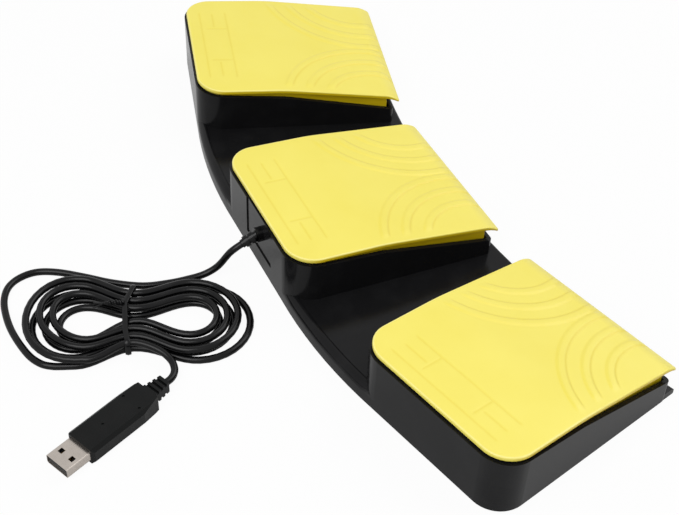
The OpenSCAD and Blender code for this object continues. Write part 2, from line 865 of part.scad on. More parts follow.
// Ribbed strain relief; its tail hangs a little
module cable_gland() {
    inside = wall - pocket_d + gland_flange_t;
    color(RUBBER) translate([gland_x, 0, gland_z]) {
        translate([0, pocket_y - wall + pocket_d - gland_flange_t, 0]) rotate([-90, 0, 0]) {
            cylinder(r = gland_flange_r, h = gland_flange_t);
            cylinder(r = gland_r, h = inside + barrel_l);
        }
        translate([0, gland_bend_y, 0]) rotate([-90 - barrel_tilt, 0, 0]) {
            translate([0, 0, -neck_in]) cylinder(r = neck_r, h = gland_tail + neck_in);
            for (i = [0, 1]) translate([0, 0, i * (rib_l + rib_gap) + rib_gap])
                cylinder(r1 = gland_rib_r, r2 = gland_rib_end_r, h = rib_l);
        }
    }
}

// Half-width of the hank at a point of its run: drawn in at the waist
function waist(u) = hank_dip * (1 + cos(180 * u / hank_run)) / 2;
// Smooth step from 0 to 1
function ease(t) = t * t * (3 - 2 * t);
// How far a loop lies inside the outer one: in for half of the loops, then out again
function hank_in(s) = hank_step * min(s, hank_loops - s);
// Height of the cord in the hank: the upper layer begins along one run
function hank_z(s) = lay_z + layer_z * ease(max(0, min(1, 4 * (s - hank_loops / 2))));
// A point of the hank after s loops, as [along, across, height]
function hank_point(s) =
    let (q = 4 * (s - floor(s)), leg = floor(q), t = q - leg, r = hank_end_r - hank_in(s), z = hank_z(s),
        u = hank_run * (leg == 0 ? 1 - 2 * t : 2 * t - 1), w = waist(u), rise = hank_lift * w / hank_dip)
    leg == 0 ? [u, r - w, z + rise]
    : leg == 1 ? [-hank_run - r * sin(180 * t), r * cos(180 * t), z]
    : leg == 2 ? [u, w - r, z + rise]
    : [hank_run + r * sin(180 * t), -r * cos(180 * t), z];
// From [along, across, height] of the hank to the part's frame
function from_hank(p) = [
    hank_x - p[0] * sin(hank_turn) - p[1] * cos(hank_turn),
    hank_y + p[0] * cos(hank_turn) - p[1] * sin(hank_turn),
    p[2]
];
hank_start = hank_point(0) + [cord_d, 0, 0];
hank_stop = [hank_run - cord_d, hank_end_r, lay_z + layer_z];
hank_path = concat(
    [hank_start],
    [for (i = [0:hank_loops * hank_rings - 1]) hank_point(i / hank_rings)],
    [[hank_run, hank_end_r, lay_z + layer_z], hank_stop]
);
hank_gap = min([
    for (i = [0:len(hank_path) - 1], j = [i + gap_skip:1:len(hank_path) - 1])
        norm(hank_path[i] - hank_path[j])
]) - cord_d;
echo("least gap between turns of the hank, mm", hank_gap);

// Length of a path
function path_length(p) = norm_sum([for (i = [1:len(p) - 1]) norm(p[i] - p[i - 1])]);
function norm_sum(v) = v * [for (x = v) 1];

// Smooth curve through the points of a route, with steps stretches between two points
function smooth(p, steps) = [
    for (i = [0:len(p) - 2], j = [0:steps - 1])
        let (t = j / steps, a = p[max(i - 1, 0)], b = p[i], c = p[i + 1], d = p[min(i + 2, len(p) - 1)])
            b + (c - a) * t / 2 + (2 * a - 5 * b + 4 * c - d) * t * t / 2
                + (3 * b - a - 3 * c + d) * t * t * t / 2,
    p[len(p) - 1]
];

function plug_place(p) = [
    plug_at[0] + p[0] * cos(plug_turn) - p[1] * sin(plug_turn),
    plug_at[1] + p[0] * sin(plug_turn) + p[1] * cos(plug_turn),
    plug_z + p[2]
];
plug_entry = plug_place([0, -grip_l - relief_l, 0]);
plug_heading = plug_place([0, -grip_l - relief_l - cord_d, 0]);
gland_heading = gland_tip + cord_d * [0, cos(barrel_tilt), -sin(barrel_tilt)];
straight = [cord_d, 0, 0];
lead_path = smooth(concat(
    [gland_tip, gland_heading], LEAD_WAY, [from_hank(hank_start + straight), from_hank(hank_start)]
), 2);
tail_path = smooth(concat(
    [for (p = concat([hank_stop, hank_stop - straight], TAIL_WAY)) from_hank(p)], [plug_heading, plug_entry]
), 2);
tail_gap = min([
    for (i = [gap_skip:1:len(tail_path) - 1], j = [0:1:len(hank_path) - 1 - gap_skip])
        norm(tail_path[i] - from_hank(hank_path[j]))
]) - cord_d;
echo("least gap between the tail and the hank, mm", tail_gap);
echo("cord length, mm", path_length(lead_path) + path_length(hank_path) + path_length(tail_path));

module cable_lead() {
    color(RUBBER) tube(lead_path, cord_r, cord_sides);
}

module cable_hank() {
    color(RUBBER) tube([for (p = hank_path) from_hank(p)], cord_r, hank_sides);
}

module cable_tail() {
    color(RUBBER) tube(tail_path, cord_r, cord_sides);
}

// Twist tie round the waist of the hank, with its two twisted ends
module twist_tie() {
    half = hank_end_r - hank_dip + cord_r + tie_side;
    low = hank_lift + cord_floor - tie_gap;
    high = lay_z + layer_z + hank_lift + cord_r + tie_gap;
    color(RUBBER) translate([hank_x, hank_y, 0]) rotate([0, 0, hank_turn]) translate([0, tie_at, 0]) {
        rotate([90, 0, 0]) linear_extrude(tie_w, center = true) difference() {
            translate([-half - tie_t, low - tie_t]) square([2 * (half + tie_t), high - low + 2 * tie_t]);
            translate([-half, low]) square([2 * half, high - low]);
        }
        for (s = [-1, 1])
            translate([tie_tail_at + s * tie_tail_d / 2, 0, high + tie_t + tie_tail_d / 2 - tie_tail_sink])
                rotate([-90 + tie_tail_rise, 0, s * tie_tail_part]) cylinder(d = tie_tail_d, h = tie_tail_l);
    }
}

module at_plug() {
    translate([plug_at[0], plug_at[1], plug_z]) rotate([0, 0, plug_turn]) children();
}

// Bar along the plug's axis, from a rectangle with round corners
module plug_bar(width, height, corner, from, to) {
    translate([0, to, 0]) rotate([90, 0, 0]) linear_extrude(to - from) {
        square([width - 2 * corner, height], center = true);
        square([width, height - 2 * corner], center = true);
        for (x = [-1, 1], z = [-1, 1]) translate([x * (width / 2 - corner), z * (height / 2 - corner)])
            circle(corner);
    }
}

// Grip of the plug: straight sides, tapered shoulders and broken edges
module plug_grip() {
    half = grip_w / 2;
    color(BLACK) at_plug() difference() {
        intersection() {
            translate([0, 0, -grip_h / 2]) linear_extrude(grip_h) polygon([
                [-half + grip_nose, 0], [-half, -grip_nose], [-half, -grip_l + shoulder_l],
                [-shoulder_w / 2, -grip_l], [shoulder_w / 2, -grip_l],
                [half, -grip_l + shoulder_l], [half, -grip_nose], [half - grip_nose, 0]
            ]);
            rotate([90, 0, 0]) linear_extrude(grip_l) polygon([
                [-half, -grip_h / 2 + grip_edge], [-half + grip_edge, -grip_h / 2],
                [half - grip_edge, -grip_h / 2], [half, -grip_h / 2 + grip_edge],
                [half, grip_h / 2 - grip_edge], [half - grip_edge, grip_h / 2],
                [-half + grip_edge, grip_h / 2], [-half, grip_h / 2 - grip_edge]
            ]);
        }
        plug_bar(plug_shell_w, plug_shell_h, shell_round, -shell_in, past);
        for (p = [[0, dimple_front], [-dimple_x, grip_l - dimple_back], [dimple_x, grip_l - dimple_back]])
            translate([p[0], -p[1], grip_h / 2 - dimple_deep]) cylinder(r = dimple_r, h = past);
    }
}

// Tapered strain relief behind the grip, with cross slots
module plug_relief() {
    color(RUBBER) at_plug() translate([0, -grip_l, 0]) difference() {
        translate([0, 0, -relief_h / 2]) linear_extrude(relief_h) polygon([
            [-relief_w / 2, 0], [-relief_end_w / 2, -relief_l],
            [relief_end_w / 2, -relief_l], [relief_w / 2, 0]
        ]);
        for (i = [0:2], s = [-1, 1])
            translate([-relief_w, -relief_first - i * relief_step, s > 0 ? cord_r + relief_core : -relief_h])
                cube([2 * relief_w, relief_slot, relief_h - cord_r - relief_core]);
    }
}

module plug_shell() {
    color(STEEL) at_plug() difference() {
        plug_bar(plug_shell_w, plug_shell_h, shell_round, -shell_in, plug_shell_l);
        plug_bar(shell_in_w, shell_in_h, shell_round - shell_t, -shell_in - past, plug_shell_l + past);
        for (x = [-window_x, window_x]) translate([x - window_w / 2, window_y - window_w / 2, -plug_shell_h])
            cube([window_w, window_w, 2 * plug_shell_h]);
    }
}

module plug_tongue() {
    color([0.93, 0.93, 0.92]) at_plug() intersection() {
        plug_bar(shell_in_w, shell_in_h, shell_round - shell_t, -shell_in, plug_shell_l - tongue_back);
        translate([-plug_shell_w / 2, -shell_in - past, -shell_in_h])
            cube([plug_shell_w, shell_in + plug_shell_l + past, shell_in_h / 2 + tongue_h]);
    }
}

module plug_contacts() {
    color("gold") at_plug() for (i = [-1.5:1:1.5])
        translate([
            i * contact_step - contact_w / 2,
            plug_shell_l - tongue_back - contact_l - contact_back,
            -plug_shell_h / 2 + shell_t + tongue_h
        ]) cube([contact_w, contact_l, contact_t]);
}

housing();
bottom_cover();
cover_screws();
rubber_feet();
at_pedal(-1) pedal();  // left_pedal
at_pedal(0) pedal();  // middle_pedal
at_pedal(1) pedal();  // right_pedal
at_pedal(-1) hinge_pin();  // left_hinge_pin
at_pedal(0) hinge_pin();  // middle_hinge_pin
at_pedal(1) hinge_pin();  // right_hinge_pin
at_pedal(-1) spring();  // left_spring
at_pedal(0) spring();  // middle_spring
at_pedal(1) spring();  // right_spring
at_pedal(-1) board();  // left_board
at_pedal(0) board();  // middle_board
at_pedal(1) board();  // right_board
at_pedal(-1) switch_body();  // left_switch
at_pedal(0) switch_body();  // middle_switch
at_pedal(1) switch_body();  // right_switch
at_pedal(-1) plunger();  // left_plunger
at_pedal(0) plunger();  // middle_plunger
at_pedal(1) plunger();  // right_plunger
wire_harness();
inner_cable();
cable_gland();
cable_lead();
cable_hank();
cable_tail();
twist_tie();
plug_grip();
plug_relief();
plug_shell();
plug_tongue();
plug_contacts();
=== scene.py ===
import bpy
import numpy as np
from mathutils import Matrix


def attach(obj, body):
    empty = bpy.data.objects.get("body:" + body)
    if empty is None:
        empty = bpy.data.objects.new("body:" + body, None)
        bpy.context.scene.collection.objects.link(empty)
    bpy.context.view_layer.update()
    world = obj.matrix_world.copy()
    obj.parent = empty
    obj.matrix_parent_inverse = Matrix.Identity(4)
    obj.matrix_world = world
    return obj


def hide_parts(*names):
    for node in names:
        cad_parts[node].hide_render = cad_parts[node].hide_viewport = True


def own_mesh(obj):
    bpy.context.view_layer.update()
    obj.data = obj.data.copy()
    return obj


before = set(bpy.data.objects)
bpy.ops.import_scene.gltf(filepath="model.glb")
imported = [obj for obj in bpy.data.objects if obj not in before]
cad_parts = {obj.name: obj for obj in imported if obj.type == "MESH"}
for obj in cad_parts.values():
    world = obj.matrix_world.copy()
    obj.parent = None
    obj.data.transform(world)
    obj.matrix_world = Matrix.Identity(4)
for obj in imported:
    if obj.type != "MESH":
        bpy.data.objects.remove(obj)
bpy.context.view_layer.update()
scene = bpy.context.scene
scene.view_settings.view_transform = "Standard"
MM = 0.001
PLUG_TURN = np.radians(24.4)

# Camera, at the photograph's viewing angle


def look_at(azimuth, elevation, roll, target, distance):
    """Camera matrix whose back axis points from the target at an azimuth and elevation, rolled about that axis."""
    a, e, r = np.radians([azimuth, elevation, roll])
    back = np.array([np.sin(a) * np.cos(e), -np.cos(a) * np.cos(e), np.sin(e)])
    right = np.array([np.cos(a), np.sin(a), 0.0])
    up = np.cross(back, right)
    across = right * np.cos(r) + up * np.sin(r)
    upward = up * np.cos(r) - right * np.sin(r)
    placed = np.eye(4)
    placed[:3, :3] = np.stack([across, upward, back], 1)
    placed[:3, 3] = (np.array(target) + back * distance) * MM
    return Matrix(placed.tolist())


camera = bpy.data.objects.new("camera", bpy.data.cameras.new("camera"))
camera.data.sensor_fit = "HORIZONTAL"
camera.data.sensor_width = 36
camera.data.lens = 68.473
camera.data.clip_start = 0.01
camera.matrix_world = look_at(azimuth=243.255, elevation=43.115, roll=2.473,
                              target=(-27.339, 35.267, 15), distance=565.214)
scene.collection.objects.link(camera)
scene.camera = camera

# Finishes


class Value:
    """One socket of a node tree. Sums, differences and products of it add Math nodes."""

    def __init__(self, tree, socket):
        self.tree, self.socket = tree, socket

    def math(self, operation, first, second):
        return self.tree.node("ShaderNodeMath", {"operation": operation}, {0: first, 1: second})

    def larger(self, other):
        return self.math("MAXIMUM", self, other)

    def __add__(self, other):
        return self.math("ADD", self, other)

    def __rsub__(self, other):
        return self.math("SUBTRACT", other, self)

    def __mul__(self, other):
        return self.math("MULTIPLY", self, other)

    __radd__, __rmul__ = __add__, __mul__


class Tree:
    """The nodes of a material or of the world."""

    def __init__(self, owner):
        owner.use_nodes = True
        self.owner, self.nodes, self.links = owner, owner.node_tree.nodes, owner.node_tree.links
        self.nodes.clear()

    def node(self, kind, settings=None, sockets=None, out=0):
        """Adds a node of one type: its settings first, then the values or links of its sockets."""
        made = self.nodes.new(kind)
        for name, value in (settings or {}).items():
            setattr(made, name, value)
        for name, value in (sockets or {}).items():
            if isinstance(value, Value):
                self.links.new(value.socket, made.inputs[name])
            else:
                made.inputs[name].default_value = value
        return Value(self, made.outputs[out]) if len(made.outputs) else None

    def place(self, turn=0.0, scale=(1, 1, 1)):
        """Object coordinates, turned about the vertical and then stretched."""
        at = self.node("ShaderNodeTexCoord", out="Object")
        return self.node("ShaderNodeMapping", {"vector_type": "POINT"},
                         {"Vector": at, "Rotation": (0, 0, turn), "Scale": scale})

    def noise(self, grain, detail, at=None):
        """Noise whose lumps are about one grain, in metres, across."""
        return self.node("ShaderNodeTexNoise", {}, {"Vector": at or self.place(), "Scale": 1 / grain,
                                                    "Detail": detail, "Roughness": 0.55})

    def band(self, value, low, high):
        """0 below low, 1 above high, and a straight ramp between."""
        return self.node("ShaderNodeMapRange", {}, {0: value, 1: low, 2: high})

    def mix(self, share, first, second):
        """Colour between two others."""
        return self.node("ShaderNodeMix", {"data_type": "RGBA"}, {0: share, 6: first, 7: second}, out=2)

    def bump(self, height, distance, strength):
        """Normal bent by a height between 0 and 1 that stands for a distance in metres."""
        return self.node("ShaderNodeBump", {}, {"Height": height, "Distance": distance, "Strength": strength})

    def seen(self, mirrored_share):
        """1 on rays from the camera or through something clear, and a share of it on rays from a mirror."""
        straight, through, mirrored = (self.node("ShaderNodeLightPath", out=ray) for ray in
                                       ("Is Camera Ray", "Is Transmission Ray", "Is Glossy Ray"))
        return straight.larger(through).larger(mirrored * mirrored_share)

    def surface(self, **sockets):
        """Principled surface as the material's output; underscores in socket names stand for spaces."""
        sockets = {name.replace("_", " "): value for name, value in sockets.items()}
        shader = self.node("ShaderNodeBsdfPrincipled", {}, sockets)
        self.node("ShaderNodeOutputMaterial", {}, {"Surface": shader})
        return self.owner


def finish(name):
    """Empty node tree of a new material."""
    return Tree(bpy.data.materials.new(name))


def colour(red, green, blue):
    """Screen colour from 0 to 255 as the light it stands for."""
    c = np.array([red, green, blue]) / 255
    light = np.where(c <= 0.04045, c / 12.92, ((c + 0.055) / 1.055) ** 2.4)
    return (*light.tolist(), 1)


def pad_yellow():
    """Moulded yellow: a fine spark-eroded grain, slow random change of colour and faint rubbed marks. Painted
    shade darkens its fine lines and the feet of its ridges, a painted highlight lightens its rim, and painted
    shade turns the skirt a fuller yellow."""
    t = finish("pad_yellow")
    # per-point mark: below 0 paints shade into the lines and ridge feet, above 0 paints a highlight on the rim
    painted_light = t.node("ShaderNodeAttribute", {"attribute_name": "painted_light"}, out="Fac")
    # per-point mark of the edge, underside and skirt, where painted shade gives a fuller yellow
    skirt = t.node("ShaderNodeAttribute", {"attribute_name": "skirt"}, out="Fac")
    slow = t.noise(0.03, 3)
    rubbed = t.band(t.noise(0.006, 5), 0.5, 0.72)
    shade = t.mix(t.band(slow, 0.3, 0.7), colour(244, 229, 99), colour(247, 233, 107))
    # painted shade: darker yellow in the engraved lines and at the ridges' feet
    shade = t.mix(t.band(0 - painted_light, 0, 1), shade, colour(230, 206, 50))
    # painted highlight: pale yellow along the rim
    shade = t.mix(t.band(painted_light, 0, 1), shade, colour(255, 248, 176))
    # painted shade: fuller, darker yellow on the skirt
    shade = t.mix(skirt, shade, colour(238, 206, 22))
    return t.surface(Base_Color=shade, Roughness=rubbed * 0.1 + 0.36, IOR=1.46,
                     Normal=t.bump(t.noise(0.0005, 2), 0.00003, 0.35))


def housing_black():
    """Black plastic with a fine grain, a little greyer where it is rubbed."""
    t = finish("housing_black")
    rubbed = t.band(t.noise(0.012, 5), 0.48, 0.75)
    shade = t.mix(rubbed, colour(21, 21, 22), colour(26, 26, 27))
    return t.surface(Base_Color=shade, Roughness=rubbed * 0.05 + 0.15, Specular_IOR_Level=0.12,
                     Normal=t.bump(t.noise(0.0006, 3), 0.00004, 0.5))


def cord_black():
    """Black jacket, smooth, with slow changes of gloss along it."""
    t = finish("cord_black")
    worn = t.band(t.noise(0.008, 4), 0.4, 0.7)
    shade = t.mix(worn, colour(4, 4, 5), colour(8, 8, 9))
    return t.surface(Base_Color=shade, Roughness=worn * 0.08 + 0.2, Specular_IOR_Level=0.2,
                     Normal=t.bump(t.noise(0.0011, 2), 0.00003, 0.5))


def grip_black():
    """Matt black moulding with a pebbled grain."""
    t = finish("grip_black")
    cells = t.node("ShaderNodeTexVoronoi", {}, {"Vector": t.place(), "Scale": 1400.0})
    worn = t.band(t.noise(0.009, 4), 0.45, 0.7)
    shade = t.mix(worn, colour(7, 8, 8), colour(11, 12, 12))
    return t.surface(Base_Color=shade, Roughness=worn * 0.08 + 0.36, Specular_IOR_Level=0.14,
                     Normal=t.bump(cells, 0.00003, 0.25))


def shell_nickel():
    """Bright nickel plate with fine rolling lines along the plug."""
    t = finish("shell_nickel")
    lines = t.noise(0.0004, 3, t.place(-PLUG_TURN, (1, 0.06, 1)))
    shade = t.mix(t.noise(0.004, 3), colour(168, 160, 153), colour(190, 182, 174))
    return t.surface(Base_Color=shade, Metallic=1.0, Roughness=lines * 0.14 + 0.2,
                     Normal=t.bump(lines, 0.00001, 0.3))


def plain(name, dark, pale, rough, grain, metal=0.0, lumps=0.00003):
    """A finish that wanders between two shades, with a grain of one size."""
    t = finish(name)
    drift = t.band(t.noise(grain * 12, 4), 0.35, 0.7)
    return t.surface(Base_Color=t.mix(drift, colour(*dark), colour(*pale)), Metallic=metal,
                     Roughness=drift * 0.12 + rough, Normal=t.bump(t.noise(grain, 3), lumps, 0.4))


yellow, black, jacket = pad_yellow(), housing_black(), cord_black()
moulding, nickel = grip_black(), shell_nickel()
rubber = plain("foot_rubber", (22, 22, 22), (32, 32, 31), 0.68, 0.0008)
steel = plain("pin_steel", (160, 163, 167), (196, 198, 202), 0.24, 0.0005, 1.0, 0.00001)
board_green = plain("board_green", (24, 88, 48), (36, 108, 60), 0.38, 0.0006)
switch_body = plain("switch_body", (26, 26, 28), (36, 36, 38), 0.45, 0.0005)
plunger_red = plain("plunger_red", (150, 24, 22), (176, 36, 30), 0.4, 0.0004)
wire_white = plain("wire_white", (196, 196, 192), (222, 222, 218), 0.42, 0.0006)
tongue_black = plain("tongue_black", (12, 12, 13), (20, 20, 21), 0.45, 0.0004)
contact_gold = plain("contact_gold", (214, 170, 84), (236, 196, 110), 0.22, 0.0003, 1.0, 0.00001)

# Surfaces


def grid_faces(rows, columns, wrap=False):
    """Corners of the cells of a grid of points, closed round its columns if wrap is set."""
    row = np.arange(rows - 1)[:, None] * columns
    left = np.arange(columns if wrap else columns - 1)[None, :]
    right = (left + 1) % columns
    return np.stack([row + left, row + columns + left, row + columns + right, row + right], -1).reshape(-1, 4)


def piece(name, points, faces, body, slot, material, stands_for=(), sharp=180, marks=None):
    """A mesh piece from points in millimetres and arrays of corners, riding a body; edges bent more than
    sharp, in degrees, stay crisp. Marks are named values, one for each point."""
    mesh = bpy.data.meshes.new(name)
    mesh.from_pydata((points * MM).tolist(), [], [f for some in faces for f in some.tolist()])
    mesh.shade_smooth()
    mesh.set_sharp_from_angle(angle=np.radians(sharp))
    mesh.materials.append(material)
    for mark, values in (marks or {}).items():
        held = mesh.attributes.new(mark, "FLOAT", "POINT")
        held.data.foreach_set("value", values.astype(np.float32))
    made = bpy.data.objects.new(name, mesh)
    scene.collection.objects.link(made)
    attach(made, body)
    if stands_for:
        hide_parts(*stands_for)
    return made


def unit(vectors):
    """Vectors divided by their lengths."""
    return vectors / np.linalg.norm(vectors, axis=-1, keepdims=True)


def sweep(path, across, upward, level=None, ring=False):
    """A profile carried along a path. Each row of across and upward gives the profile's points at one point
    of the path, sideways and upwards from it. The sideways axis lies flat unless level gives it. Fans close
    the two ends, or the last profile joins the first where the path is a ring."""
    ahead = np.roll(path, -1, 0) - np.roll(path, 1, 0) if ring else np.gradient(path, axis=0)
    ahead = unit(ahead)
    side = unit(np.cross(ahead, (0, 0, 1))) if level is None else np.broadcast_to(level, path.shape)
    over = np.cross(side, ahead)
    points = path[:, None] + across[..., None] * side[:, None] + upward[..., None] * over[:, None]
    rows, columns = points.shape[:2]
    if ring:
        return points.reshape(-1, 3), [grid_faces(rows + 1, columns, True) % (rows * columns)]
    first = np.arange(columns)
    following = np.roll(first, -1)
    hub = np.full(columns, rows * columns)
    last = (rows - 1) * columns
    points = np.vstack([points.reshape(-1, 3), points[0].mean(0)[None], points[-1].mean(0)[None]])
    return points, [grid_faces(rows, columns, True), np.stack([hub, first, following], 1),
                    np.stack([hub + 1, last + following, last + first], 1)]


def tube(path, radius, sides=14):
    """Round profile of a radius, or of one radius for each point, carried along a path."""
    turn = 2 * np.pi * np.arange(sides) / sides
    radius = np.broadcast_to(radius, len(path))[:, None]
    return sweep(path, radius * np.cos(turn), radius * np.sin(turn))


def ease(t):
    """Smooth step from 0 to 1."""
    return t * t * (3 - 2 * t)


def step(x, low, high):
    """Smooth step from 0 at low to 1 at high."""
    return ease(np.clip((x - low) / (high - low), 0, 1))


def groove(off, width):
    """Rounded groove or ridge: 1 on its line, falling as a bell curve of a width."""
    return np.exp(-((off / width) ** 2))


def smooth(route, parts):
    """Curve through the points of a route: each stretch is the cubic set by its two ends and their neighbours."""
    p = np.asarray(route, float)
    a, b, c, d = np.vstack([p[:1], p[:-2]]), p[:-1], p[1:], np.vstack([p[2:], p[-1:]])
    a, b, c, d = (q[:, None] for q in (a, b, c, d))
    t = (np.arange(parts) / parts)[None, :, None]
    curve = b + (c - a) * t / 2 + (2 * a - 5 * b + 4 * c - d) * t**2 / 2
    curve = curve + (3 * b - a - 3 * c + d) * t**3 / 2
    return np.vstack([curve.reshape(-1, 3), p[-1:]])


# Cord: out of the gland, round the hank, through the loops and on to the plug

CORD_R = 1.575
LAY_Z, LAYER_Z = CORD_R + 0.02, 3.75
HANK_AT, HANK_TURN, LOOPS = (-18, 126.4), np.radians(-21), 6
RUN, END_R, LOOP_STEP, DIP, LIFT = 23.5, 23, 4.5, 7.6, 1.1
NEAR_REACH, FAR_REACH = (4, 1, 0, 0, 0, 0), (0, 1, 0, -1.5, -2, -1, 0)
CLIMB, LAYER_SHIFT, SHIFT_REACH = 1 / 6, 7, 54
SHIFT_FROM, SHIFT_FULL, SHIFT_BACK = 0.1, 0.25, 0.3
LOOP_POINTS, WAY_PARTS = 72, 6
PLUG_AT, PLUG_Z, PLUG_REAR = (-75.2, 167.7), 4, -45
GLAND_TIP, GLAND_TILT = np.array([-4.6, 72.0512, 17.0417]), np.radians(25)
LEAD_WAY = [
    (-4.2, 77.5, 13.6), (-3.7, 79.4, 11), (-3.2, 81.1, 8.4), (-2.7, 83.2, 5.9), (-2.2, 86.4, 3.8),
    (-1.7, 90.6, 2.4), (-1, 96.5, 1.8), (0, 105, 1.7), (2.8, 116, 1.7),
    (9.8, 127.6, 1.7), (18.4, 138, 1.7), (25.6, 147.6, 1.7), (29.4, 156.2, 1.7),
    (28.8, 164, 1.7), (25, 170, 1.7), (18.4, 173.6, 1.7), (10.4, 175.2, 1.7), (0.8, 175.6, 1.7),
    (-8.8, 174.6, 1.7), (-18.4, 172.4, 1.7), (-24.4, 169.2, 1.7), (-27.4, 165.6, 1.7),
]
TAIL_WAY = [
    (12.5, 21.2, 5.7), (7, 17.8, 6.3), (2, 15.6, 6.6), (-2.5, 15.8, 6.6), (-8, 18, 6.3),
    (-12.6, 20.8, 5.6), (-15.9, 24.4, 4.7), (-17.2, 28.2, 4.2), (-17, 31.4, 4.1),
]


def from_hank(p):
    """Points given as along, across and height of the hank, in the part's frame."""
    p = np.atleast_2d(np.asarray(p, float))
    c, s = np.cos(HANK_TURN), np.sin(HANK_TURN)
    return np.stack([HANK_AT[0] - p[:, 0] * s - p[:, 1] * c,
                     HANK_AT[1] + p[:, 0] * c - p[:, 1] * s, p[:, 2]], 1)


def from_plug(p):
    """Points given sideways, forwards and upwards from the plug's nose, in the part's frame."""
    p = np.atleast_2d(np.asarray(p, float))
    c, s = np.cos(PLUG_TURN), np.sin(PLUG_TURN)
    return np.stack([PLUG_AT[0] + p[:, 0] * c - p[:, 1] * s,
                     PLUG_AT[1] + p[:, 0] * s + p[:, 1] * c, PLUG_Z + p[:, 2]], 1)


def hank_loops(s):
    """The hank after s loops. A loop is a run, a half circle, a run back and a half circle. The runs draw in
    and rise a little at the waist, and the loops go inwards for half of their count and out again one layer
    higher. Each end of a loop reaches further or less far than the others, and the far ends of the upper
    layer lie further to one side."""
    quarter = 4 * (s % 1)
    leg = np.floor(quarter)
    t = quarter - leg
    loop = np.minimum(np.floor(s), LOOPS - 1).astype(int)
    near = np.array(NEAR_REACH)[loop]
    far = np.array(FAR_REACH)[np.floor(s).astype(int) + (leg > 0)]
    r = END_R - LOOP_STEP * np.minimum(s, LOOPS - s)
    half = LOOPS / 2
    z = LAY_Z + LAYER_Z * step(s, half, half + CLIMB)
    u = np.where(leg == 0, 1 - 2 * t, 2 * t - 1)
    run = u * (RUN + np.where(u > 0, far, near))
    waist = (1 + np.cos(np.pi * u)) / 2
    on = [leg == 0, leg == 1, leg == 2]
    out, turned = r * np.sin(np.pi * t), r * np.cos(np.pi * t)
    along = np.select(on, [run, -RUN - near - out, run], RUN + far + out)
    across = np.select(on, [r - DIP * waist, turned, DIP * waist - r], -turned)
    upper = step(s, half + SHIFT_FROM, half + SHIFT_FULL) * (1 - step(s, LOOPS - SHIFT_BACK, LOOPS))
    across = across - LAYER_SHIFT * upper * step(along, 0, SHIFT_REACH)
    return np.stack([along, across, z + LIFT * waist * (leg % 2 == 0)], 1)


def cord_path():
    """Lead, hank and tail as one line of points, in millimetres."""
    straight = np.array([2 * CORD_R, 0, 0])
    top = LAY_Z + LAYER_Z
    loops = hank_loops(np.arange(LOOPS * LOOP_POINTS) / LOOP_POINTS)
    start = loops[0] + straight
    leave = GLAND_TIP + 2 * CORD_R * np.array([0, np.cos(GLAND_TILT), -np.sin(GLAND_TILT)])
    join = from_hank([start + straight, start])
    lead = smooth(np.vstack([GLAND_TIP, leave, LEAD_WAY, join]), WAY_PARTS)
    stop = np.array([RUN, END_R, top]) - straight
    plug = from_plug([(0, PLUG_REAR - 2 * CORD_R, 0), (0, PLUG_REAR, 0)])
    tail = smooth(np.vstack([from_hank([stop, stop - straight, *TAIL_WAY]), plug]), WAY_PARTS)
    return np.vstack([lead, from_hank(loops), from_hank((RUN, END_R, top)), tail])


way = cord_path()
cord = piece("cord", *tube(way, CORD_R), "base", "rubber", jacket, ("cable_lead", "cable_hank", "cable_tail"))

# Twist tie: a flat band with a wire core round the waist, and its two twisted ends

TIE_ALONG = ((-18, -15.4, -5.8, 9.6, 15.8, 18), (1.5, 1.5, 4.4, 3.4, 2.2, 2.2))
TIE_HALF, TIE_LOW, TIE_HIGH, TIE_CORNER = 17.9, 0.55, 8.75, 2.6
TIE_WIDE, TIE_T, CORE_WIDE, CORE_T = 1.15, 0.22, 0.4, 0.2
KNOT_AT, END_RUN, STRAND_R, TWISTS, PARTING = (4.6, -5.7, 9.45), 13, 0.5, 3.2, 0.56


def squared(wave):
    """A sine or cosine drawn out towards a square wave: its size to the power 0.7, with its sign."""
    return np.sign(wave) * np.abs(wave) ** 0.7


def tie_band():
    """Ring round the waist: a rectangle with round corners in the plane across the hank, shifted along it by
    its place, with a lens-shaped profile that is thick over its core."""
    turn = np.radians(np.linspace(0, 90, 9))[None] + np.radians([[0], [90], [180], [270]])
    sx, sz = np.array([[1], [-1], [-1], [1]]), np.array([[1], [1], [-1], [-1]])
    middle, rise = (TIE_LOW + TIE_HIGH) / 2, (TIE_HIGH - TIE_LOW) / 2
    across = (sx * (TIE_HALF - TIE_CORNER) + TIE_CORNER * np.cos(turn)).ravel()
    height = (middle + sz * (rise - TIE_CORNER) + TIE_CORNER * np.sin(turn)).ravel()
    across, height = np.append(across, across[0]), np.append(height, height[0])
    far = np.concatenate([[0], np.cumsum(np.hypot(np.diff(across), np.diff(height)))])
    at = np.linspace(0, far[-1], 180, endpoint=False)
    across, height = np.interp(at, far, across), np.interp(at, far, height)
    path = from_hank(np.stack([np.interp(across, *TIE_ALONG), across, height], 1))
    turn = 2 * np.pi * np.arange(16) / 16
    wide = TIE_WIDE * squared(np.cos(turn))
    thick = TIE_T * squared(np.sin(turn)) + CORE_T * np.sign(np.sin(turn)) * groove(wide, CORE_WIDE)
    along = unit(from_hank((1, 0, 0)) - from_hank((0, 0, 0)))
    return sweep(path, np.tile(wide, (len(path), 1)), np.tile(thick, (len(path), 1)), along, True)


